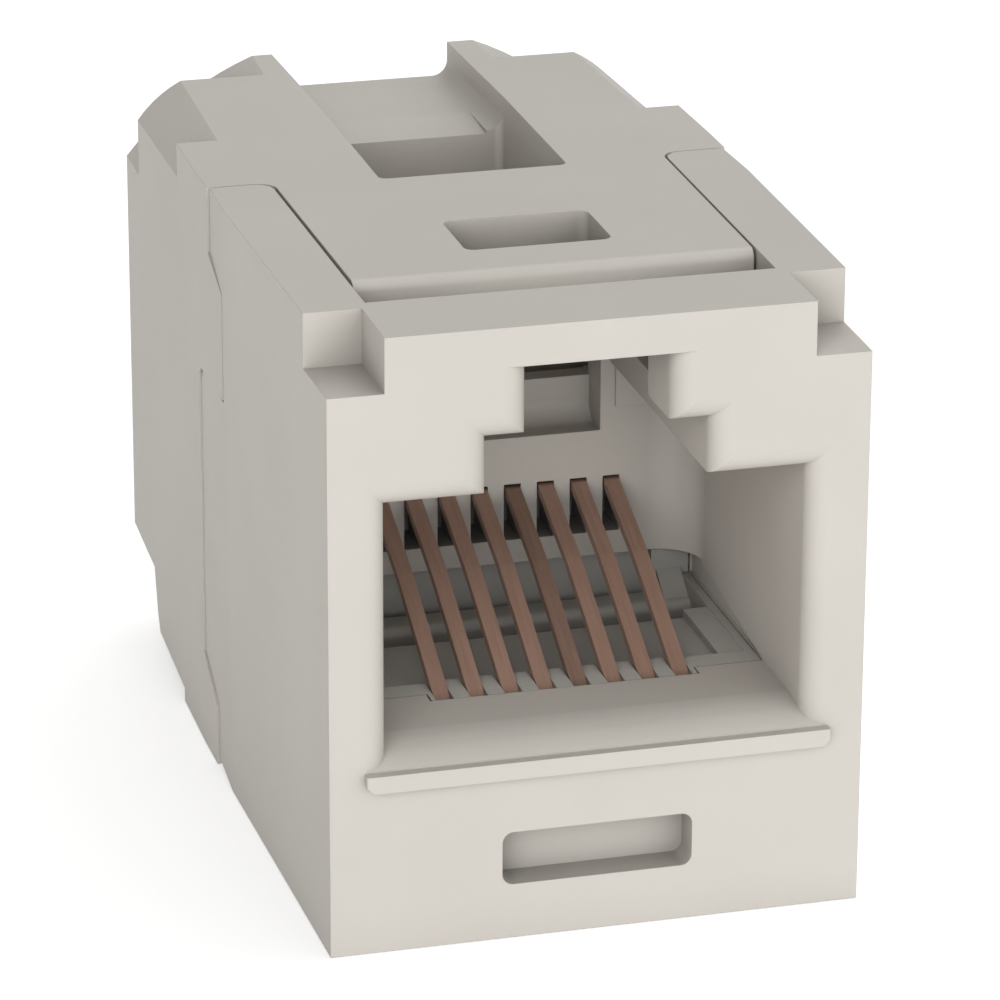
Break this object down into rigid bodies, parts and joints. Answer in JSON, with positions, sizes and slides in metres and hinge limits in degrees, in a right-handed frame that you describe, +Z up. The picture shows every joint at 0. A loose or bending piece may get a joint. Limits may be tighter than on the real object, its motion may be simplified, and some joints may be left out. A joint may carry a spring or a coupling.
{
  "type": "ethernet inline coupler",
  "caption": "Short box-shaped inline coupler for network patch cords, with a keyed modular jack at each end and a snap-in stepped plastic body.",
  "frame": {"origin": "middle of the footprint, on the flat underside", "axes": "+Z up towards the latch side, -Y out of the front jack's mouth, +Y out of the rear jack's mouth, +X right seen from the front"},
  "size_m": [0.0158, 0.0278, 0.0182],
  "materials": {
    "housing_plastic": "fine matte off-white moulding",
    "contact_bronze": "dull copper-coloured plated wire",
    "board": "green laminate, hidden inside"
  },
  "bodies": {
    "root": {"front_housing": "housing_plastic", "rear_housing": "housing_plastic", "front_contact_sled": "housing_plastic", "rear_contact_sled": "housing_plastic", "circuit_board": "board", "front_contact_1": "contact_bronze", "front_contact_2": "contact_bronze", "front_contact_3": "contact_bronze", "front_contact_4": "contact_bronze", "front_contact_5": "contact_bronze", "front_contact_6": "contact_bronze", "front_contact_7": "contact_bronze", "front_contact_8": "contact_bronze", "rear_contact_1": "contact_bronze", "rear_contact_2": "contact_bronze", "rear_contact_3": "contact_bronze", "rear_contact_4": "contact_bronze", "rear_contact_5": "contact_bronze", "rear_contact_6": "contact_bronze", "rear_contact_7": "contact_bronze", "rear_contact_8": "contact_bronze"}
  },
  "joints": []
}
